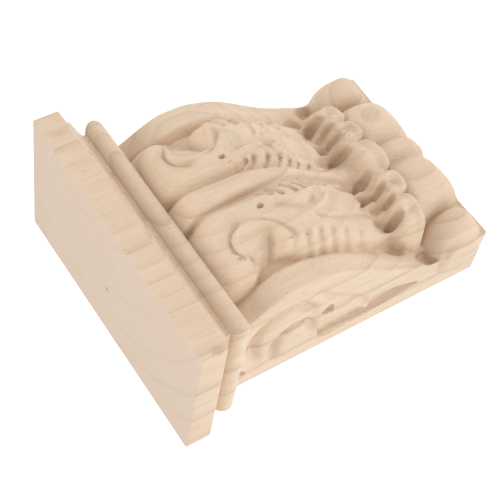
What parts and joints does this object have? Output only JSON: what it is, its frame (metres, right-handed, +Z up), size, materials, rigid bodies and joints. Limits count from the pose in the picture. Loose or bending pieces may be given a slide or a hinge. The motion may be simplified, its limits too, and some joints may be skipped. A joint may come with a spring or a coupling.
{
  "type": "corbel bracket",
  "caption": "Carved wooden corbel with a square shelf slab, crown moulding, acanthus leaf front, side volutes and a knuckled foot; mounts flat on a wall and carries a shelf.",
  "frame": {"origin": "centre of the flat back that lies on the wall", "axes": "+X runs across the corbel along the wall, -Y points out of the wall and +Z points up"},
  "size_m": [0.12, 0.062, 0.15],
  "materials": {
    "bare_wood": "unfinished, sanded"
  },
  "bodies": {
    "root": {"corbel": "bare_wood"}
  },
  "joints": []
}
